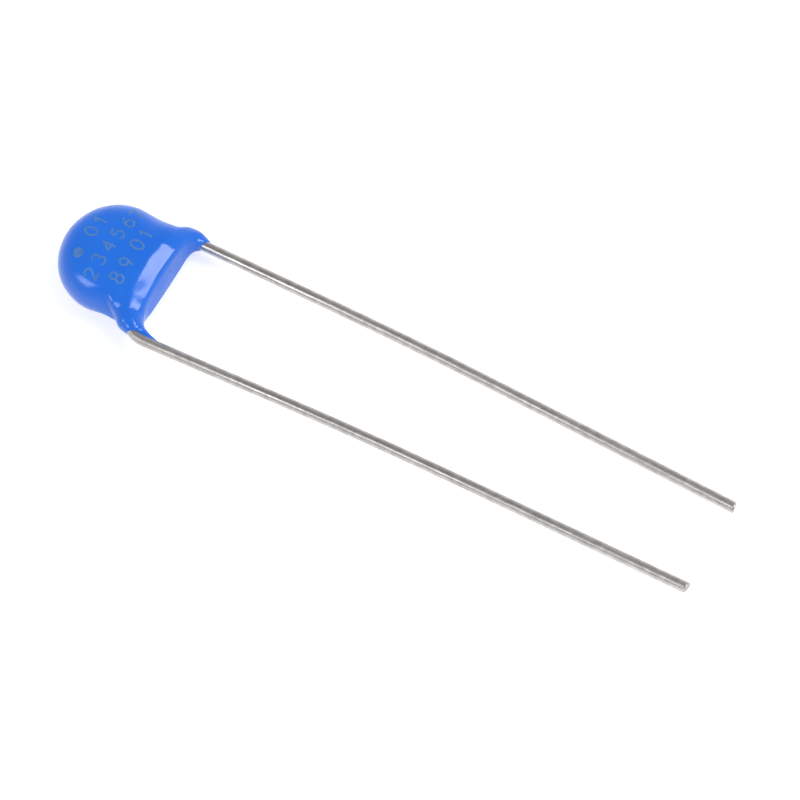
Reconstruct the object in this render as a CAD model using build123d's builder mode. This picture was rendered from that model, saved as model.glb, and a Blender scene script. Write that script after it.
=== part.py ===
"""Leaded disc varistor, in millimetres: a sintered ceramic disc with a silver electrode fired on each
face, a tinned wire soldered to each electrode, and an epoxy coating dipped over the joint.

Every piece is first modelled in the element's own frame: the disc is centred on the origin, its axis is
Z, and the wires run towards +X, the front one on the -Y side. The whole is then set down as it rests on
a table, on the round of the coating and on the two wire tips, with the origin under its middle.
"""

import os
from math import acos, asin, atan2, cos, degrees, hypot, radians, sin, sqrt, tan

from build123d import *

# Ceramic disc and its fired silver electrodes
disc_diameter = 5.0
disc_thickness = 0.8
disc_chamfer = 0.1
electrode_margin = 0.4
electrode_thickness = 0.03

# Lead wires: each crosses its electrode at the flare angle, clears the disc's edge, steps in, and bends
# to run along X at its own reach past that edge. The pair sits a little to one side of the disc.
wire_diameter = 0.6
solder_film = 0.05
flare_angle = 32.0
wire_end_inset = 0.6
edge_clearance = 0.15
step_run = 0.8
step_radius = 1.0
exit_offset = 0.4
exit_pitch = 6.5
exit_bend_radius = 1.5
front_bend_reach = 2.19
rear_bend_reach = 1.25
pair_shift = -0.31

# Long run of each wire, bowed a little sideways between the exit bend and the tip
tip_x = 37.6
tip_pitch = 5.0
bow = 0.28
bow_share = 0.42
bow_radius = 300.0

# Solder joints: a bank of solder along each wire
solder_length = 2.4
solder_width = 1.5
solder_height = 0.45
solder_taper = 35.0

# Epoxy coating: a rounded body with a shallow crown, a web that thins from it to a front edge between
# the wires, and a sleeve on each wire. A sleeve starts inside the body, its root measured back from the
# wire's step, and its end is measured along the wire from the exit bend.
coat_rim = 0.6
coat_over_wire = 0.55
crown_rise = 0.16
web_root_inset = 0.2
web_root_sink = 0.35
web_waist_setback = 1.5
web_waist_inset = 0.03
web_waist_sink = 0.41
web_reach = 0.18
web_side_gap = 0.2
web_front_height = 1.25
web_edge_land = 0.15
sleeve_root = 1.4
sleeve_wall = 0.11
sleeve_lip_land = 0.02
front_sleeve_end = -0.5
rear_sleeve_end = 0.9

disc_radius = disc_diameter / 2
wire_radius = wire_diameter / 2
electrode_radius = disc_radius - electrode_margin
electrode_face = disc_thickness / 2 + electrode_thickness
wire_level = electrode_face + solder_film + wire_radius
coat_radius = disc_radius + coat_rim
coat_half = wire_level + wire_radius + coat_over_wire
rim_radius = coat_half - crown_rise
rim_centre = coat_radius - rim_radius

# Each wire: its face (1 is the front), the reach of its exit bend, and where its sleeve ends
FRONT = (1, front_bend_reach, front_sleeve_end)
REAR = (-1, rear_bend_reach, rear_sleeve_end)


def flare_direction(side):
    """Direction in which a wire leaves the disc: the front wire flares to -Y, the rear one to +Y."""
    return Vector(cos(radians(flare_angle)), -side * sin(radians(flare_angle)), 0)


def edge_point(wire):
    """Point where the wire clears the disc's edge, level with its electrode."""
    side, bend_reach, _ = wire
    y = pair_shift - side * (exit_pitch / 2 - bend_reach * tan(radians(flare_angle)))
    return Vector(sqrt((disc_radius + edge_clearance) ** 2 - y**2), y, side * wire_level)


def flare_point(wire, radius, inward=False):
    """Point of the wire's flared line, level with its electrode, this far from the disc's axis."""
    edge = edge_point(wire)
    direction = flare_direction(wire[0])
    along = edge.dot(direction)
    offset_squared = (disc_radius + edge_clearance) ** 2 - along**2
    reach = sqrt(radius**2 - offset_squared)
    return edge + direction * ((-reach if inward else reach) - along)


def wire_points(wire):
    """Corner points of one wire's centreline, from its soldered end to its tip."""
    side, bend_reach, _ = wire
    direction = flare_direction(side)
    inner_end = flare_point(wire, disc_radius - wire_end_inset, inward=True)
    step = edge_point(wire)
    landing = step + direction * step_run - Vector(0, 0, side * (wire_level - exit_offset))
    bend = landing + direction * (bend_reach / direction.X - step_run)
    tip = Vector(tip_x, pair_shift - side * tip_pitch / 2, 0)
    bowed = bend + (tip - bend) * bow_share + Vector(0, bow, 0)
    return [inner_end, step, landing, bend, bowed, tip]


def lead(wire):
    with BuildPart() as shape:
        with BuildLine() as path:
            FilletPolyline(
                *wire_points(wire),
                radius=[step_radius, step_radius, exit_bend_radius, bow_radius],
            )
        with BuildSketch(Plane(origin=path.line @ 0, z_dir=path.line % 0)):
            Circle(wire_radius)
        sweep(path=path.line)
    return shape


def electrode(side):
    with BuildPart() as shape:
        with BuildSketch(Plane.XY.offset(side * disc_thickness / 2)):
            Circle(electrode_radius)
        extrude(amount=side * electrode_thickness)
    return shape


def solder_joint(wire, soldered_lead):
    """Bank of solder along the middle of the wire's stretch on the electrode, with the wire cut out."""
    side = wire[0]
    inner_end, step = wire_points(wire)[:2]
    middle = (inner_end + flare_point(wire, electrode_radius)) / 2
    base = Plane(
        origin=(middle.X, middle.Y, side * electrode_face),
        x_dir=step - inner_end,
        z_dir=(0, 0, side),
    )
    with BuildPart() as shape:
        with BuildSketch(base):
            SlotOverall(solder_length, solder_width)
        extrude(amount=solder_height, taper=solder_taper)
        add(soldered_lead.part, mode=Mode.SUBTRACT)
    return shape


def dome_radius():
    """Radius of the shallow crown that meets the arc of the rim in a smooth line."""
    return (rim_centre**2 + coat_half**2 - rim_radius**2) / (2 * crown_rise)


def coat_body():
    dome = dome_radius()
    turn = degrees(asin(rim_centre / (dome - rim_radius)))
    with BuildPart() as shape:
        with BuildSketch(Plane.XZ):
            with BuildLine():
                CenterArc((0, coat_half - dome), dome, 90 - turn, turn)
                CenterArc((rim_centre, 0), rim_radius, turn - 90, 180 - 2 * turn)
                CenterArc((0, dome - coat_half), dome, -90, turn)
                Line((0, coat_half), (0, -coat_half))
            make_face()
        revolve(axis=Axis.Z)
    return shape


def coat_web():
    """Web of coating between the wires, from inside the body to its thin front edge."""
    width, height = 2 * coat_radius, 2 * coat_half
    sections = [
        (0, width - 2 * web_root_inset, height - 2 * web_root_sink),
        (coat_radius - web_waist_setback, width - 2 * web_waist_inset, height - 2 * web_waist_sink),
        (coat_radius + web_reach, exit_pitch - 2 * web_side_gap, web_front_height),
    ]
    with BuildPart() as shape:
        for x, section_width, section_height in sections:
            with BuildSketch(Plane.YZ.offset(x)):
                SlotOverall(section_width, section_height)
        loft()
        front_edge = shape.faces().sort_by(Axis.X)[-1].edges()
        fillet(front_edge, radius=(web_front_height - web_edge_land) / 2)
    return shape


def coat_sleeve(wire):
    """Sleeve of coating on the wire, from inside the body to its end before or after the exit bend."""
    side, _, end = wire
    landing, bend, bowed = wire_points(wire)[2:5]
    root = landing - flare_direction(side) * sleeve_root
    with BuildPart() as shape:
        with BuildLine() as path:
            if end > 0:
                FilletPolyline(root, bend, bend + (bowed - bend).normalized() * end, radius=exit_bend_radius)
            else:
                Line(root, bend + flare_direction(side) * end)
        with BuildSketch(Plane(origin=path.line @ 0, z_dir=path.line % 0)):
            Circle(wire_radius + sleeve_wall)
        sweep(path=path.line)
        lip = shape.faces().sort_by(Axis.X)[-1].edges()
        fillet(lip, radius=sleeve_wall - sleeve_lip_land)
    return shape


def rest_tilt():
    """Angle, in degrees, by which the wires run down to a table that the crown and both tips touch."""
    dome = dome_radius()
    dome_centre = dome - coat_half
    tip_reach = hypot(tip_x, dome_centre + wire_radius)
    return degrees(atan2(tip_x, dome_centre + wire_radius) - acos(dome / tip_reach))


with BuildPart() as zinc_oxide_disc:
    with BuildSketch(Plane.XY.offset(-disc_thickness / 2)):
        Circle(disc_radius)
    extrude(amount=disc_thickness)
    chamfer(zinc_oxide_disc.edges().filter_by(GeomType.CIRCLE), length=disc_chamfer)

front_electrode = electrode(1)
rear_electrode = electrode(-1)
front_lead = lead(FRONT)
rear_lead = lead(REAR)
front_solder_joint = solder_joint(FRONT, front_lead)
rear_solder_joint = solder_joint(REAR, rear_lead)

pieces = {
    "zinc_oxide_disc": zinc_oxide_disc,
    "front_electrode": front_electrode,
    "rear_electrode": rear_electrode,
    "front_solder_joint": front_solder_joint,
    "rear_solder_joint": rear_solder_joint,
    "front_lead": front_lead,
    "rear_lead": rear_lead,
}

# The coating fills every space around the joint that it encloses
coat_shapes = [coat_body(), coat_web(), coat_sleeve(FRONT), coat_sleeve(REAR)]
with BuildPart() as epoxy_coating:
    for shape in coat_shapes:
        add(shape.part)
    for inner in pieces.values():
        add(inner.part, mode=Mode.SUBTRACT)
pieces["epoxy_coating"] = epoxy_coating

# Set the part down on the table, with the origin under the middle of its box
tilted = {name: Rotation(0, rest_tilt(), 0) * piece.part for name, piece in pieces.items()}
box = Compound(list(tilted.values())).bounding_box()
set_down = Pos(-box.center().X, -box.center().Y, -box.min.Z)

os.makedirs("parts", exist_ok=True)
for name, shape in tilted.items():
    piece = set_down * shape
    piece.label = name
    export_step(piece, f"parts/{name}.step")
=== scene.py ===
import math

import bpy
import numpy as np
from mathutils import Matrix, Vector


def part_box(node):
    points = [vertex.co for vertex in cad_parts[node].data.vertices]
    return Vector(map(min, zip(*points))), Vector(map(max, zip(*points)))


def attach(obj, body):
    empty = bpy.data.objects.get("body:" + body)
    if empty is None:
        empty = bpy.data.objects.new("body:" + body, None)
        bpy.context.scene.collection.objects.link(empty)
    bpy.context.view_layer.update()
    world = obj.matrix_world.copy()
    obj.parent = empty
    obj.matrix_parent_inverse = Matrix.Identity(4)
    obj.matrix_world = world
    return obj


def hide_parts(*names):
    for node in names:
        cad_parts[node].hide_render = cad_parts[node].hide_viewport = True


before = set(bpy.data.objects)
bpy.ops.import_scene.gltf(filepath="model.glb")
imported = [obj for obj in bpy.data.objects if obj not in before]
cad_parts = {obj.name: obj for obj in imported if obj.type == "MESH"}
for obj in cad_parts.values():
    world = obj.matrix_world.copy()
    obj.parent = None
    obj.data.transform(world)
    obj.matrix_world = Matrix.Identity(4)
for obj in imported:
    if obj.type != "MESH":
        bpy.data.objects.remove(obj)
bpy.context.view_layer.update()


# Ceramic disc: the working element, zinc oxide powder pressed to a tablet and sintered at white heat.
# It comes out of the kiln dark grey-green and matt, with fine grains and a few open pores. The coating
# hides it.
def grain_group():
    """Shared grain: a fine mask and a coarse mask, each from 0 to 1, that the finishes below draw on."""
    group = bpy.data.node_groups.new("surface grain", "ShaderNodeTree")
    group.interface.new_socket("Stretch", in_out="INPUT", socket_type="NodeSocketVector")
    group.interface.new_socket("Fine scale", in_out="INPUT", socket_type="NodeSocketFloat")
    group.interface.new_socket("Coarse scale", in_out="INPUT", socket_type="NodeSocketFloat")
    group.interface.new_socket("Fine", in_out="OUTPUT", socket_type="NodeSocketFloat")
    group.interface.new_socket("Coarse", in_out="OUTPUT", socket_type="NodeSocketFloat")
    nodes, links = group.nodes, group.links
    given = nodes.new("NodeGroupInput")
    result = nodes.new("NodeGroupOutput")
    place = nodes.new("ShaderNodeTexCoord")
    stretched = nodes.new("ShaderNodeVectorMath")
    stretched.operation = "MULTIPLY"
    links.new(place.outputs["Object"], stretched.inputs[0])
    links.new(given.outputs["Stretch"], stretched.inputs[1])
    for scale, output, detail in (("Fine scale", "Fine", 3.0), ("Coarse scale", "Coarse", 5.0)):
        noise = nodes.new("ShaderNodeTexNoise")
        noise.inputs["Detail"].default_value = detail
        links.new(stretched.outputs[0], noise.inputs["Vector"])
        links.new(given.outputs[scale], noise.inputs["Scale"])
        links.new(noise.outputs["Fac"], result.inputs[output])
    return group


surface_grain = grain_group()


def finish_material(name, metallic=0.0, roughness=0.5):
    """New material with its Principled shader, ready for its own nodes."""
    material = bpy.data.materials.new(name)
    material.use_nodes = True
    shader = material.node_tree.nodes["Principled BSDF"]
    shader.inputs["Metallic"].default_value = metallic
    shader.inputs["Roughness"].default_value = roughness
    return material, shader


def grain_node(material, fine, coarse, stretch=(1.0, 1.0, 1.0)):
    """The shared grain placed in a material, with scales in grains per metre."""
    node = material.node_tree.nodes.new("ShaderNodeGroup")
    node.node_tree = surface_grain
    node.inputs["Stretch"].default_value = stretch
    node.inputs["Fine scale"].default_value = fine
    node.inputs["Coarse scale"].default_value = coarse
    return node


def ramp_from(material, source, stops, target):
    """Colour ramp from a mask to a shader socket. Stops are (position, colour or level)."""
    ramp = material.node_tree.nodes.new("ShaderNodeValToRGB")
    while len(ramp.color_ramp.elements) < len(stops):
        ramp.color_ramp.elements.new(0.5)
    for element, (position, value) in zip(ramp.color_ramp.elements, stops):
        element.position = position
        element.color = (*value, 1.0) if isinstance(value, tuple) else (value, value, value, 1.0)
    material.node_tree.links.new(source, ramp.inputs["Fac"])
    material.node_tree.links.new(ramp.outputs["Color"], target)


def bump_from(material, source, shader, distance):
    """Bump of this depth, in metres, from a mask to the shader's normal."""
    bump = material.node_tree.nodes.new("ShaderNodeBump")
    bump.inputs["Distance"].default_value = distance
    material.node_tree.links.new(source, bump.inputs["Height"])
    material.node_tree.links.new(bump.outputs["Normal"], shader.inputs["Normal"])


def dress(node, material):
    """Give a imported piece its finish."""
    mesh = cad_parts[node].data
    mesh.materials.clear()
    mesh.materials.append(material)


ceramic, ceramic_shader = finish_material("sintered zinc oxide", roughness=0.75)
ceramic_grain = grain_node(ceramic, fine=9000.0, coarse=1200.0)
ramp_from(
    ceramic,
    ceramic_grain.outputs["Fine"],
    [(0.3, (0.055, 0.062, 0.055)), (0.7, (0.125, 0.135, 0.12))],
    ceramic_shader.inputs["Base Color"],
)
bump_from(ceramic, ceramic_grain.outputs["Fine"], ceramic_shader, distance=0.000006)
dress("zinc_oxide_disc", ceramic)


# Electrodes: silver paste screen-printed on each face of the ceramic and fired on. They are matt and
# slightly yellow white, with the faint mesh marks of the screen.
silver, silver_shader = finish_material("fired silver", metallic=1.0, roughness=0.5)
silver_grain = grain_node(silver, fine=14000.0, coarse=900.0)
ramp_from(
    silver,
    silver_grain.outputs["Coarse"],
    [(0.3, (0.78, 0.76, 0.70)), (0.7, (0.90, 0.89, 0.85))],
    silver_shader.inputs["Base Color"],
)
ramp_from(
    silver,
    silver_grain.outputs["Fine"],
    [(0.3, 0.42), (0.7, 0.6)],
    silver_shader.inputs["Roughness"],
)
bump_from(silver, silver_grain.outputs["Fine"], silver_shader, distance=0.000003)
dress("front_electrode", silver)
dress("rear_electrode", silver)


# Solder joints: tin solder drawn up beside each wire where it lies on its electrode, smooth and bright,
# with slow ripples from the moment it set.
solder, solder_shader = finish_material("tin solder", metallic=1.0, roughness=0.25)
solder_grain = grain_node(solder, fine=5000.0, coarse=1500.0)
ramp_from(
    solder,
    solder_grain.outputs["Coarse"],
    [(0.3, (0.60, 0.60, 0.60)), (0.7, (0.74, 0.74, 0.73))],
    solder_shader.inputs["Base Color"],
)
ramp_from(
    solder,
    solder_grain.outputs["Fine"],
    [(0.3, 0.2), (0.7, 0.36)],
    solder_shader.inputs["Roughness"],
)
bump_from(solder, solder_grain.outputs["Coarse"], solder_shader, distance=0.00001)
dress("front_solder_joint", solder)
dress("rear_solder_joint", solder)


# Leads: soft copper wire, drawn through a die and then tinned, so the skin is a grey satin with faint
# streaks along it and a few pits and rubs. Each is soldered at its inner end and snipped at its tip.
def wire_centreline(node, end_trim):
    """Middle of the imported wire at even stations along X, in metres, with its inner end put back."""
    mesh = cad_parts[node].data
    points = np.array([v.co for v in mesh.vertices])
    edges = np.array([e.vertices[:] for e in mesh.edges])
    start, end = points[edges[:, 0]], points[edges[:, 1]]
    low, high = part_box(node)
    station_gap, last_station_gap, tip_gap = 0.0001, 0.00006, 0.00004
    middles = []
    for x in np.arange(low.x + end_trim, high.x - last_station_gap, station_gap):
        cut = (start[:, 0] - x) * (end[:, 0] - x) < 0
        share = (x - start[cut, 0]) / (end[cut, 0] - start[cut, 0])
        ring = start[cut] + share[:, None] * (end[cut] - start[cut])
        middles.append((ring.min(0) + ring.max(0)) / 2)
    middles = np.array(middles)
    inner_run = middles[0] - middles[5]
    inner_run *= end_trim / np.linalg.norm(inner_run)
    tip_run = middles[-1] - middles[-40]
    tip = middles[-1] + tip_run / tip_run[0] * (high.x - tip_gap - middles[-1][0])
    return np.vstack([middles[0] + inner_run, middles, tip])


def distances_along(path):
    """Distance from the start of a path to each of its points."""
    return np.concatenate([[0], np.cumsum(np.linalg.norm(np.diff(path, axis=0), axis=1))])


def even_path(points, spacing):
    """The same path, smoothed a little, with points at even spacing along it."""
    smooth = points.copy()
    for _ in range(6):
        smooth[1:-1] = (smooth[:-2] + 2 * smooth[1:-1] + smooth[2:]) / 4
    travelled = distances_along(smooth)
    stations = np.linspace(0, travelled[-1], int(travelled[-1] / spacing) + 1)
    return np.stack([np.interp(stations, travelled, smooth[:, i]) for i in range(3)], 1), stations


def slow_wave(rng, stations, length, size):
    """Smooth random wander of this size along the wire, with a new value at each length."""
    knots = np.arange(stations[0] - length, stations[-1] + 2 * length, length)
    values = rng.normal(0, size, len(knots))
    share = (stations - knots[0]) / length
    index = share.astype(int)
    blend = share - index
    blend = blend * blend * (3 - 2 * blend)
    return values[index] * (1 - blend) + values[index + 1] * blend


def object_from(name, points, faces, material):
    """Smooth-shaded mesh object from points in metres."""
    mesh = bpy.data.meshes.new(name)
    mesh.from_pydata([tuple(p) for p in points], [], faces)
    mesh.polygons.foreach_set("use_smooth", [True] * len(mesh.polygons))
    mesh.update()
    mesh.materials.append(material)
    thing = bpy.data.objects.new(name, mesh)
    bpy.context.scene.collection.objects.link(thing)
    return thing


def snipped_wire(name, node, seed, radius, cut_slant, cut_turn):
    """Drawn wire along its packed path, with small pits, a rubbed skin and a snipped, slanted tip."""
    rng = np.random.default_rng(seed)
    path, stations = even_path(wire_centreline(node, end_trim=wire_end_trim), spacing=0.00007)
    sides, pits = 28, 46
    skin_inset, coated_length, snip_length, inner_cap = 0.000004, 0.006, 0.0006, 0.00005
    angles = np.arange(sides) * 2 * math.pi / sides
    forward = np.gradient(path, axis=0)
    forward /= np.linalg.norm(forward, axis=1)[:, None]
    across = np.cross((0.0, 0.0, 1.0), forward)
    across /= np.linalg.norm(across, axis=1)[:, None]
    upward = np.cross(forward, across)
    girth = radius - skin_inset + slow_wave(rng, stations, length=0.0011, size=0.0000016)
    reach = np.repeat(girth[:, None], sides, 1)
    for _ in range(pits):
        at, turn = rng.uniform(coated_length, stations[-1]), rng.uniform(0, 2 * math.pi)
        long, wide = rng.uniform(0.00008, 0.0004), rng.uniform(0.15, 0.4)
        deep = rng.uniform(0.000003, 0.00001)
        gap = np.angle(np.exp(1j * (angles - turn)))[None, :]
        reach -= deep * np.exp(-(((stations[:, None] - at) / long) ** 2) - (gap / wide) ** 2)
    rings = path[:, None, :] + reach[..., None] * (
        np.cos(angles)[None, :, None] * across[:, None, :]
        + np.sin(angles)[None, :, None] * upward[:, None, :]
    )
    # The cutters leave the tip on a slant, with a small rolled edge round the cut face
    slant = cut_slant * (np.cos(angles - cut_turn) - 1) / 2
    to_tip = stations[-1] - stations
    pull = np.clip(1 - to_tip / snip_length, 0, 1)
    rings += (pull[:, None] * slant[None, :])[..., None] * forward[-1]
    middle = path[-1] + forward[-1] * (-cut_slant / 2)
    tip_ring = rings[-1]
    outward = tip_ring - middle
    caps = [
        tip_ring - outward * 0.10 + forward[-1] * 0.00002,
        tip_ring - outward * 0.2 + forward[-1] * 0.00001,
        middle + outward * 0.55,
        middle + outward * 0.25,
    ]
    points = np.vstack([rings.reshape(-1, 3), *caps, [middle], [path[0] - forward[0] * inner_cap]])
    count = len(path) + len(caps)
    faces = []
    for ring in range(count - 1):
        for side in range(sides):
            following = (side + 1) % sides
            this, beyond = ring * sides, (ring + 1) * sides
            faces.append((this + side, this + following, beyond + following, beyond + side))
    last = (count - 1) * sides
    for side in range(sides):
        following = (side + 1) % sides
        faces.append((last + side, last + following, count * sides))
        faces.append((following, side, count * sides + 1))
    wire = object_from(name, points, faces, tinned)
    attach(wire, "root")
    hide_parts(node)


tinned, tinned_shader = finish_material("tinned copper wire", metallic=1.0, roughness=0.36)
streaks = grain_node(tinned, fine=9000.0, coarse=1500.0, stretch=(0.07, 1.0, 1.0))
blotches = grain_node(tinned, fine=2600.0, coarse=700.0)
ramp_from(
    tinned,
    blotches.outputs["Fine"],
    [(0.3, (0.43, 0.41, 0.395)), (0.5, (0.52, 0.50, 0.485)), (0.75, (0.62, 0.60, 0.59))],
    tinned_shader.inputs["Base Color"],
)
ramp_from(
    tinned,
    streaks.outputs["Coarse"],
    [(0.35, 0.28), (0.65, 0.46)],
    tinned_shader.inputs["Roughness"],
)
bump_from(tinned, streaks.outputs["Fine"], tinned_shader, distance=0.000006)

wire_radius = 0.0003
wire_end_trim = 0.0006
snipped_wire("front_wire", "front_lead", 5, wire_radius, cut_slant=0.00012, cut_turn=0.6)
snipped_wire("rear_wire", "rear_lead", 11, wire_radius, cut_slant=0.0002, cut_turn=2.4)


# Epoxy coating: the soldered element is dipped in blue epoxy and cured, so it is one glossy drop: a
# shallow dome on each face, a web between the wires that falls to a blunt edge, and a skin that runs a
# little way down each wire. Only its outer skin is made here.
disc_low, disc_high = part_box("zinc_oxide_disc")
disc_centre = (disc_low + disc_high) / 2
silver_boxes = [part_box(n) for n in ("front_electrode", "rear_electrode")]
disc_up = (sum(silver_boxes[0], Vector()) - sum(silver_boxes[1], Vector())).normalized()
disc_along = Vector((0.0, 1.0, 0.0)).cross(disc_up)
disc_frame = Matrix((disc_along, (0.0, 1.0, 0.0), disc_up)).transposed().to_4x4()
disc_frame.translation = disc_centre


def to_disc(points):
    """Points in metres in the row's frame, as millimetres in the disc's own frame."""
    axes = np.array(disc_frame.to_3x3())
    return (np.asarray(points) - np.array(disc_centre)) @ axes * 1000


def from_disc(points):
    """Points in millimetres in the disc's own frame, as metres in the row's frame."""
    axes = np.array(disc_frame.to_3x3())
    return np.asarray(points) / 1000 @ axes.T + np.array(disc_centre)


def near_wire(points, path):
    """Distance from the wire's centreline, and how far along it the nearest place is."""
    travelled = distances_along(path)
    best = np.full(len(points), 1e9)
    along = np.zeros(len(points))
    for i in range(len(path) - 1):
        run = path[i + 1] - path[i]
        share = (points - path[i]) @ run / (run @ run)
        if 0 < i < len(path) - 2:
            share = np.clip(share, 0, 1)
        elif i == 0:
            share = np.minimum(share, 1)
        else:
            share = np.maximum(share, 0)
        distance = np.linalg.norm(points - path[i] - share[:, None] * run, axis=1)
        closer = distance < best
        best = np.where(closer, distance, best)
        along = np.where(closer, travelled[i] + share * np.linalg.norm(run), along)
    return best, along


def soft_min(a, b, blend):
    """The lower of two fields, with the crease between them filled like a liquid's."""
    share = np.clip(0.5 + 0.5 * (b - a) / blend, 0, 1)
    return b + (a - b) * share - blend * share * (1 - share)


def soft_step(value, start, end):
    """Smooth rise from 0 to 1 between these two values."""
    share = np.clip((value - start) / (end - start), 0, 1)
    return share * share * (3 - 2 * share)


# Sizes of the coating in millimetres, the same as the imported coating's
coat_radius = 3.1
coat_half = 1.63
crown_rise = 0.16
rim_radius = coat_half - crown_rise
rim_centre = coat_radius - rim_radius
dome_radius = (rim_centre**2 + coat_half**2 - rim_radius**2) / (2 * crown_rise)
dome_turn = math.asin(rim_centre / (dome_radius - rim_radius))

# Web: its front edge and how far that is drawn in, its fall towards it, and the rounds of its edges
web_reach = 3.33
web_hollow = 0.10
web_half_width = 3.2
web_fall = 0.3
flank_round = 0.9
front_round = 0.2


def body_field(p):
    """Round body: a shallow dome on each face, met by the arc of the rim."""
    out = np.hypot(p[:, 0], p[:, 1])
    high = np.abs(p[:, 2]) + dome_radius - coat_half
    dome = np.hypot(out, high) - dome_radius
    rim = np.hypot(out - rim_centre, p[:, 2]) - rim_radius
    return np.where(np.arctan2(out, high) < dome_turn, dome, rim)


def curve(value, places, sizes):
    """Smooth line through these sizes at these places."""
    fine = np.linspace(places[0], places[-1], 161)
    line = np.interp(fine, places, sizes)
    for _ in range(30):
        line[1:-1] = (line[:-2] + line[1:-1] + line[2:]) / 3
    return np.interp(value, fine, line)


def rounded_meet(a, b, radius):
    """Field of the edge where two faces meet, rounded to this radius."""
    over_a, over_b = a + radius, b + radius
    outside = np.hypot(np.maximum(over_a, 0), np.maximum(over_b, 0))
    return np.minimum(np.maximum(over_a, over_b), 0) + outside - radius


def front_edge(v):
    """The web's front edge, drawn in a shallow curve between the wires."""
    return web_reach - web_hollow * np.cos(v / web_half_width * math.pi / 2)


def web_field(p):
    """Web between the wires: it leaves the dome in an even fall and ends in a blunt front edge."""
    u = np.clip(p[:, 0], 0.0, 3.6)
    wide = curve(u, (0.0, 1.0, 1.6, 2.2, 2.8, 3.6), (2.80, 3.02, 3.07, 3.10, 3.12, 3.12))
    high = curve(
        u,
        (0.0, 1.2, 1.6, 2.1, 2.4, 2.8, 3.2, 3.6),
        (1.08, 1.22, 1.30, 1.35, 1.31, 1.10, 0.88, 0.66),
    )
    high = high - 0.20 * soft_step(np.abs(p[:, 1]), 1.5, 2.8) - 0.03 * (p[:, 1] - 0.5) ** 2
    slab = (np.abs(p[:, 2]) - high) / math.hypot(1, web_fall)
    flank = np.abs(p[:, 1]) - wide
    front = p[:, 0] - front_edge(p[:, 1])
    rounded = rounded_meet(rounded_meet(slab, flank, flank_round), front, front_round)
    return np.maximum(rounded, -p[:, 0])


# Only the stretch of each wire near the coating is followed
front_path = to_disc(wire_centreline("front_lead", end_trim=wire_end_trim)[::4])
rear_path = to_disc(wire_centreline("rear_lead", end_trim=wire_end_trim)[::4])
front_path = front_path[front_path[:, 0] < 6.5]
rear_path = rear_path[rear_path[:, 0] < 5.5]

# Each sleeve: its wire, where it ends along the disc's X, its wall and the slant of its end
sleeves = ((front_path, 3.34, 0.16, 0.5), (rear_path, 3.86, 0.17, 0.7))
wire_skin = 0.304
sleeve_lip = 0.05
sleeve_thinning = 0.13


def path_x(along, path):
    """How far out, along X, a place on the wire is."""
    travelled = distances_along(path)
    last = (path[-1] - path[-2]) / np.linalg.norm(path[-1] - path[-2])
    inside = np.interp(along, travelled, path[:, 0])
    return inside + np.maximum(along - travelled[-1], 0) * last[0]


def sleeve_field(p, path, end, wall, slant):
    """Skin of coating on a wire, thick at the web and drawn out thin to its end."""
    distance, along = near_wire(p, path)
    place = path_x(along, path)
    lean = end + slant * (p[:, 1] - path[-1, 1])
    to_end = lean - place
    thick = wire_skin + wall * soft_step(to_end, 0.0, 0.8) + sleeve_lip * soft_step(to_end, 0.0, 0.15)
    thick = thick - sleeve_thinning * soft_step(-place, -2.9, -2.0)
    return -soft_min(thick - distance, to_end, 0.04)


def tongue_field(p):
    """Tongue of coating that runs on along the inner side of the front wire and thins to nothing."""
    tongue_start, tongue_height = 3.0, 0.31
    middle = curve(p[:, 0], (tongue_start, 3.4, 3.8, 4.4, 5.2), (-2.80, -2.98, -3.14, -3.24, -3.30))
    girth = curve(
        p[:, 0],
        (tongue_start, 3.4, 3.9, 4.6, 5.2, 5.35),
        (0.40, 0.38, 0.28, 0.15, 0.05, -0.05),
    )
    tube = np.hypot(p[:, 1] - middle, p[:, 2] - tongue_height) - girth
    return np.maximum(tube, tongue_start - p[:, 0])


def coat_field(p):
    """Whole coating, below zero inside it, with the slight sags of a skin that has run."""
    field = soft_min(body_field(p), web_field(p), 0.35)
    near = p[:, 0] > 1.0
    sleeve_blend = 0.1 + 0.9 * soft_step(p[:, 0], 1.6, 2.8)
    for path, end, wall, slant in sleeves:
        sleeve = np.full(len(p), 9.0)
        sleeve[near] = sleeve_field(p[near], path, end, wall, slant)
        field = np.where(near, soft_min(field, sleeve, sleeve_blend), field)
    field = soft_min(field, tongue_field(p), 0.4)
    sag_depth = 0.012
    sag = sag_depth * np.sin(1.7 * p[:, 0] + 0.6) * np.sin(1.3 * p[:, 1] - 0.4)
    return field + np.abs(sag)


def field_slope(field, points):
    """Field's slope at each point, in X, Y and Z."""
    small = 0.004
    steps = np.eye(3) * small
    return np.stack([(field(points + step) - field(points - step)) / (2 * small) for step in steps], 1)


def settle(field, points, rounds):
    """Move points on to the surface where the field is zero, by no more than a short step a round."""
    longest_step, least_slope = 0.05, 0.05
    for _ in range(rounds):
        slope = field_slope(field, points)
        step = field(points)[:, None] * slope / np.maximum((slope**2).sum(1), least_slope)[:, None]
        points = points - np.clip(step, -longest_step, longest_step)
    return points


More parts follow.
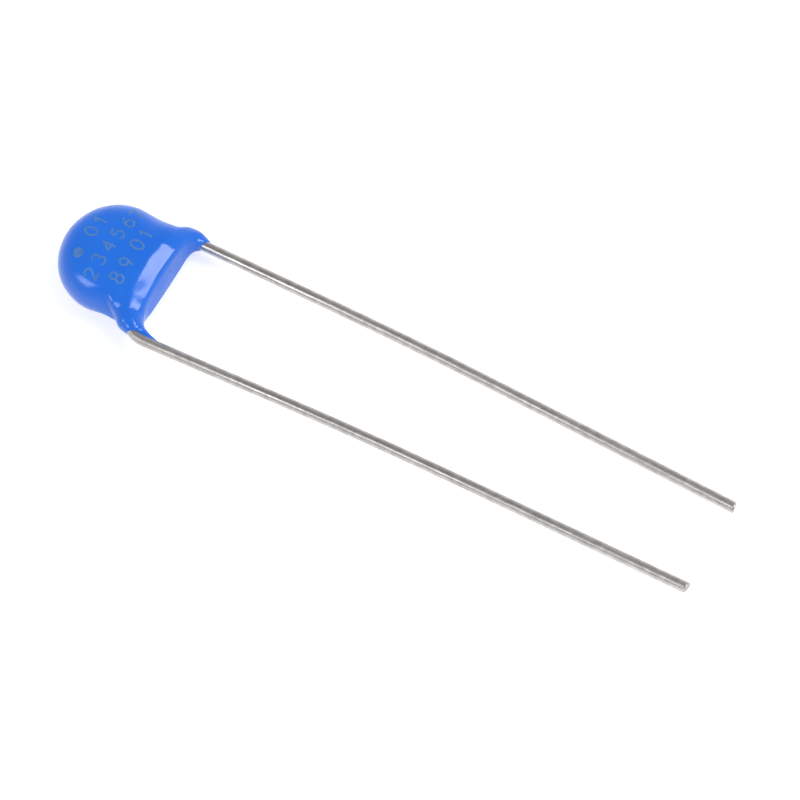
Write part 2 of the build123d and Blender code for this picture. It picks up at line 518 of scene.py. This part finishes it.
def surface_of(field, low, high, spacing):
    """Skin of a field: one point in each grid cell that the surface crosses, and four-sided faces."""
    axes = [np.arange(a, b + spacing, spacing) for a, b in zip(low, high)]
    grid = np.stack(np.meshgrid(*axes, indexing="ij"), -1)
    inside = (field(grid.reshape(-1, 3)) < 0).reshape(grid.shape[:3])
    nx, ny, nz = inside.shape
    corners = np.zeros((nx - 1, ny - 1, nz - 1), int)
    for i in (0, 1):
        for j in (0, 1):
            for k in (0, 1):
                corners += inside[i : nx - 1 + i, j : ny - 1 + j, k : nz - 1 + k]
    crossed = (corners > 0) & (corners < 8)
    number = np.full(crossed.shape, -1)
    number[crossed] = np.arange(crossed.sum())
    points = np.array(low) + (np.argwhere(crossed) + 0.5) * spacing
    faces = []
    for axis in range(3):
        second, third = (axis + 1) % 3, (axis + 2) % 3
        ahead = np.roll(inside, -1, axis)
        changed = np.argwhere(inside != ahead)
        fits = changed[:, axis] < inside.shape[axis] - 1
        for i in (second, third):
            fits &= (changed[:, i] > 0) & (changed[:, i] < inside.shape[i] - 1)
        changed = changed[fits]
        left = np.eye(3, dtype=int)[second]
        below = np.eye(3, dtype=int)[third]
        quads = np.stack(
            [number[tuple((changed - shift).T)] for shift in (left + below, below, 0 * left, left)],
            1,
        )
        leaving = inside[tuple(changed.T)]
        faces.append(np.where(leaving[:, None], quads, quads[:, ::-1]))
    faces = np.vstack(faces)
    for _ in range(4):
        total, count = np.zeros_like(points), np.zeros(len(points))
        for a, b in ((0, 1), (1, 2), (2, 3), (3, 0)):
            np.add.at(total, faces[:, a], points[faces[:, b]])
            np.add.at(count, faces[:, a], 1)
        points = 0.4 * points + 0.6 * total / np.maximum(count, 1)[:, None]
        points = settle(field, points, 1)
    return settle(field, points, 3), faces


epoxy, epoxy_shader = finish_material("dipped blue epoxy", roughness=0.16)
epoxy_shader.inputs["IOR"].default_value = 1.53
epoxy_shader.inputs["Coat Weight"].default_value = 0.1
epoxy_shader.inputs["Coat Roughness"].default_value = 0.08
epoxy_grain = grain_node(epoxy, fine=2600.0, coarse=420.0)
ramp_from(
    epoxy,
    epoxy_grain.outputs["Coarse"],
    [(0.3, (0.008, 0.168, 0.84)), (0.7, (0.010, 0.188, 0.90))],
    epoxy_shader.inputs["Base Color"],
)
ramp_from(
    epoxy,
    epoxy_grain.outputs["Coarse"],
    [(0.3, 0.13), (0.7, 0.2)],
    epoxy_shader.inputs["Roughness"],
)
bump_from(epoxy, epoxy_grain.outputs["Fine"], epoxy_shader, distance=0.0000022)

coat_points, coat_faces = surface_of(coat_field, (-3.3, -4.3, -1.8), (5.6, 4.0, 1.8), spacing=0.06)
coating = object_from("coating", from_disc(coat_points), coat_faces.tolist(), epoxy)
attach(coating, "root")
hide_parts("epoxy_coating")


# Marking: plain digits from 0 to 9 and a dot, printed on the front dome by a fine jet in pale teal ink,
# so each stroke is a thin flat bead that stands slightly proud of the coating.
def bow_of(middle_x, middle_y, wide, high, start, end, count):
    """Points on part of an oval, from one angle to another, in shares of a digit's box."""
    return [
        (middle_x + wide * math.cos(a), middle_y + high * math.sin(a))
        for a in np.linspace(start, end, count)
    ]


# Strokes of each digit, in shares of its width and height
STROKES = {
    "0": [bow_of(0.5, 0.5, 0.5, 0.5, 0, 2 * math.pi, 25)],
    "1": [[(0.1, 0.72), (0.5, 1.0), (0.5, 0.0)]],
    "2": [bow_of(0.5, 0.72, 0.46, 0.28, 2.9, -0.7, 14) + [(0.0, 0.0), (1.0, 0.0)]],
    "3": [bow_of(0.45, 0.75, 0.42, 0.25, 2.6, -1.5, 14) + bow_of(0.45, 0.26, 0.5, 0.26, 1.5, -2.7, 16)],
    "4": [[(0.75, 0.0), (0.75, 1.0), (0.0, 0.32), (1.0, 0.32)]],
    "5": [[(0.9, 1.0), (0.18, 1.0), (0.1, 0.56)] + bow_of(0.45, 0.32, 0.48, 0.32, 2.2, -2.6, 18)],
    "6": [[(0.85, 0.95), (0.4, 0.8), (0.08, 0.45)] + bow_of(0.5, 0.3, 0.44, 0.3, 3.1, -3.1, 22)],
    "7": [[(0.0, 1.0), (1.0, 1.0), (0.35, 0.0)]],
    "8": [
        bow_of(0.5, 0.76, 0.40, 0.24, -1.57, 4.71, 20)
        + bow_of(0.5, 0.26, 0.48, 0.26, 1.57, -4.71, 22)
    ],
    "9": [bow_of(0.5, 0.7, 0.44, 0.3, 0.0, 6.2, 22) + [(0.9, 0.45), (0.6, 0.0)]],
}
digit_height = 0.78
digit_width = 0.46
stroke_width = 0.125
ink_rise = 0.006

# Each row of digits, with the middle of each in millimetres along and across the disc
DIGITS = [
    ("0", -1.35, 0.39), ("1", -1.25, 1.2),
    ("2", -0.02, -1.75), ("3", -0.05, -0.85), ("4", 0.02, 0.03),
    ("5", 0.08, 0.9), ("6", 0.16, 1.72), ("7", 0.28, 2.42),
    ("8", 1.36, -1.3), ("9", 1.4, -0.38), ("0", 1.36, 0.8), ("1", 1.42, 1.6),
]
dot_along, dot_across, dot_radius = -1.33, -0.98, 0.24


def on_coating(flat):
    """Places on the upper skin of the coating, straight above these flat ones."""
    high = np.full(len(flat), 1.6)
    small = 0.004
    for _ in range(12):
        points = np.column_stack([flat, high])
        above, below = coat_field(points + [0, 0, small]), coat_field(points - [0, 0, small])
        rise = (above - below) / (2 * small)
        high = high - np.clip(coat_field(points) / np.maximum(rise, 0.2), -0.2, 0.2)
    return np.column_stack([flat, high])


def even_stroke(stroke, spacing):
    """The same stroke with points at even spacing along it, four or more."""
    stroke = np.array(stroke)
    travelled = distances_along(stroke)
    stations = np.linspace(0, travelled[-1], max(int(travelled[-1] / spacing), 3) + 1)
    return np.stack([np.interp(stations, travelled, stroke[:, i]) for i in range(2)], 1)


def ink_bead(stroke, points, faces):
    """Flattened bead of ink along one stroke, with round ends, added to these points and faces."""
    spacing = 0.035
    path = even_stroke(stroke, spacing)
    run = np.gradient(path, axis=0)
    run /= np.linalg.norm(run, axis=1)[:, None]
    beside = np.column_stack([-run[:, 1], run[:, 0]])
    order = np.arange(len(path))
    ends = np.minimum(order, order[::-1]) * spacing / (stroke_width / 2)
    fullness = np.sqrt(np.clip(1 - (1 - np.clip(ends + 0.25, 0, 1)) ** 2, 0, 1))
    profile = [(-0.5, -1.0), (-0.4, 0.5), (-0.2, 0.9), (0.0, 1.0), (0.2, 0.9), (0.4, 0.5), (0.5, -1.0)]
    start = sum(len(p) for p in points)
    for side, height in profile:
        flat = path + beside * (stroke_width * side * fullness)[:, None]
        skin = on_coating(flat)
        slope = field_slope(coat_field, skin)
        slope /= np.linalg.norm(slope, axis=1)[:, None]
        points.append(skin + slope * (ink_rise * height * np.maximum(fullness, 0.3))[:, None])
    n = len(path)
    for row in range(len(profile) - 1):
        for i in range(n - 1):
            a = start + row * n + i
            faces.append((a, a + n, a + n + 1, a + 1))
    for i in (0, n - 1):
        ring = [start + row * n + i for row in range(len(profile))]
        faces.append(tuple(ring[::-1] if i == 0 else ring))
    last_row = start + (len(profile) - 1) * n
    faces.extend((start + i, start + i + 1, last_row + i + 1, last_row + i) for i in range(n - 1))


ink, ink_shader = finish_material("pale teal ink", roughness=0.42)
ink_grain = grain_node(ink, fine=16000.0, coarse=3000.0)
ramp_from(
    ink,
    ink_grain.outputs["Coarse"],
    [(0.3, (0.055, 0.20, 0.55)), (0.7, (0.095, 0.26, 0.62))],
    ink_shader.inputs["Base Color"],
)
bump_from(ink, ink_grain.outputs["Fine"], ink_shader, distance=0.000002)

mark_points, mark_faces = [], []
for digit, u, v in DIGITS:
    for stroke in STROKES[digit]:
        placed = [(u + (0.5 - y) * digit_height, v + (x - 0.5) * digit_width) for x, y in stroke]
        ink_bead(placed, mark_points, mark_faces)

# The dot is filled by one spiral stroke
spiral = []
for turn in np.linspace(0.3, 19.6, 120):
    out = min(0.018 * turn, dot_radius)
    spiral.append((dot_along + out * math.cos(turn), dot_across + out * math.sin(turn)))
ink_bead(spiral, mark_points, mark_faces)
marking = object_from("marking", from_disc(np.vstack(mark_points)), mark_faces, ink)
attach(marking, "root")


# Table: a smooth white sheet that runs on past the view, with the part lying on its coating and on both
# wire tips. It glows a little where it is seen or mirrored, as a lit table does, but not on the part.
floor_mesh = bpy.data.meshes.new("table_sheet")
reach = 1.2
floor_corners = [(-reach, -reach, 0.0), (reach, -reach, 0.0), (reach, reach, 0.0), (-reach, reach, 0.0)]
floor_mesh.from_pydata(floor_corners, [], [(0, 1, 2, 3)])
floor = bpy.data.objects.new("table_sheet", floor_mesh)
bpy.context.scene.collection.objects.link(floor)
sheet = bpy.data.materials.new("white sheet")
sheet.use_nodes = True
sheet_nodes, sheet_links = sheet.node_tree.nodes, sheet.node_tree.links
sheet_nodes.clear()
sheet_output = sheet_nodes.new("ShaderNodeOutputMaterial")
matt = sheet_nodes.new("ShaderNodeBsdfDiffuse")
matt.inputs["Color"].default_value = (0.85, 0.85, 0.85, 1.0)
glow = sheet_nodes.new("ShaderNodeEmission")
glow.inputs["Color"].default_value = (1.0, 1.0, 1.0, 1.0)
glow.inputs["Strength"].default_value = 0.55
seen = sheet_nodes.new("ShaderNodeLightPath")
either = sheet_nodes.new("ShaderNodeMath")
either.operation = "MAXIMUM"
any_of = sheet_nodes.new("ShaderNodeMath")
any_of.operation = "MAXIMUM"
no_glow = sheet_nodes.new("ShaderNodeEmission")
no_glow.inputs["Strength"].default_value = 0.0
blend = sheet_nodes.new("ShaderNodeMixShader")
both = sheet_nodes.new("ShaderNodeAddShader")
sheet_links.new(seen.outputs["Is Camera Ray"], either.inputs[0])
sheet_links.new(seen.outputs["Is Glossy Ray"], either.inputs[1])
sheet_links.new(either.outputs[0], any_of.inputs[0])
sheet_links.new(seen.outputs["Is Transmission Ray"], any_of.inputs[1])
sheet_links.new(any_of.outputs[0], blend.inputs[0])
sheet_links.new(no_glow.outputs[0], blend.inputs[1])
sheet_links.new(glow.outputs[0], blend.inputs[2])
sheet_links.new(matt.outputs[0], both.inputs[0])
sheet_links.new(blend.outputs[0], both.inputs[1])
sheet_links.new(both.outputs[0], sheet_output.inputs["Surface"])
floor_mesh.materials.append(sheet)


# Light: a pale room, brighter near the horizon than overhead, with one softbox ahead of the web and a
# smaller, dimmer one at the coating's back.
world = bpy.data.worlds.new("pale room")
bpy.context.scene.world = world
world.use_nodes = True
room, room_links = world.node_tree.nodes, world.node_tree.links
room.clear()
room_output = room.new("ShaderNodeOutputWorld")
direction = room.new("ShaderNodeTexCoord")
parts = room.new("ShaderNodeSeparateXYZ")
by_height = room.new("ShaderNodeValToRGB")
for element, (position, level) in zip(by_height.color_ramp.elements, ((0.1, 0.92), (0.75, 0.34))):
    element.position = position
    element.color = (level, level, level, 1.0)
room_light = room.new("ShaderNodeBackground")
backdrop = room.new("ShaderNodeBackground")
backdrop.inputs["Color"].default_value = (1.0, 1.0, 1.0, 1.0)
looked_at = room.new("ShaderNodeLightPath")
choice = room.new("ShaderNodeMixShader")
room_links.new(direction.outputs["Generated"], parts.inputs[0])
room_links.new(parts.outputs["Z"], by_height.inputs["Fac"])
room_links.new(by_height.outputs["Color"], room_light.inputs["Color"])
room_links.new(looked_at.outputs["Is Camera Ray"], choice.inputs[0])
room_links.new(room_light.outputs[0], choice.inputs[1])
room_links.new(backdrop.outputs[0], choice.inputs[2])
room_links.new(choice.outputs[0], room_output.inputs["Surface"])


def softbox(name, towards, width, height, level):
    """Soft panel light that faces the coating from half a metre, as bright as this level all over."""
    lamp = bpy.data.lights.new(name, "AREA")
    lamp.shape = "RECTANGLE"
    lamp.size, lamp.size_y = width, height
    lamp.energy = level * math.pi * width * height
    panel = bpy.data.objects.new(name, lamp)
    away = Vector(towards).normalized()
    facing = away.to_track_quat("Z", "Y").to_matrix().to_4x4()
    panel.matrix_world = Matrix.Translation(disc_centre + away * 0.5) @ facing
    bpy.context.scene.collection.objects.link(panel)


softbox("front_softbox", (0.55, 0.27, 0.79), width=0.24, height=0.22, level=6.0)
softbox("back_softbox", (-0.42, -0.50, 0.75), width=0.20, height=0.18, level=3.6)


# Camera: a long lens, well above the part and turned so that the wires run down to the right, with the
# coating at the upper left. It aims a little to the side of the part's middle.
view_right = Vector((0.82886, 0.50987, -0.23028))
view_up = Vector((-0.38075, 0.81567, 0.43555))
view_back = Vector((0.40991, -0.27333, 0.87021))
camera_data = bpy.data.cameras.new("camera")
camera_data.lens = 342.93
camera_data.sensor_width = 36.0
camera_data.clip_start, camera_data.clip_end = 0.01, 10.0
camera = bpy.data.objects.new("camera", camera_data)
aim_right, aim_down, camera_distance, middle_height = 0.0008995, 0.0004606, 0.4, 0.001
stand = Matrix((view_right, view_up, view_back)).transposed().to_4x4()
stand.translation = view_right * aim_right - view_up * aim_down + view_back * camera_distance
stand.translation.z += middle_height
camera.matrix_world = stand
bpy.context.scene.collection.objects.link(camera)
bpy.context.scene.camera = camera
bpy.context.scene.view_settings.view_transform = "Standard"
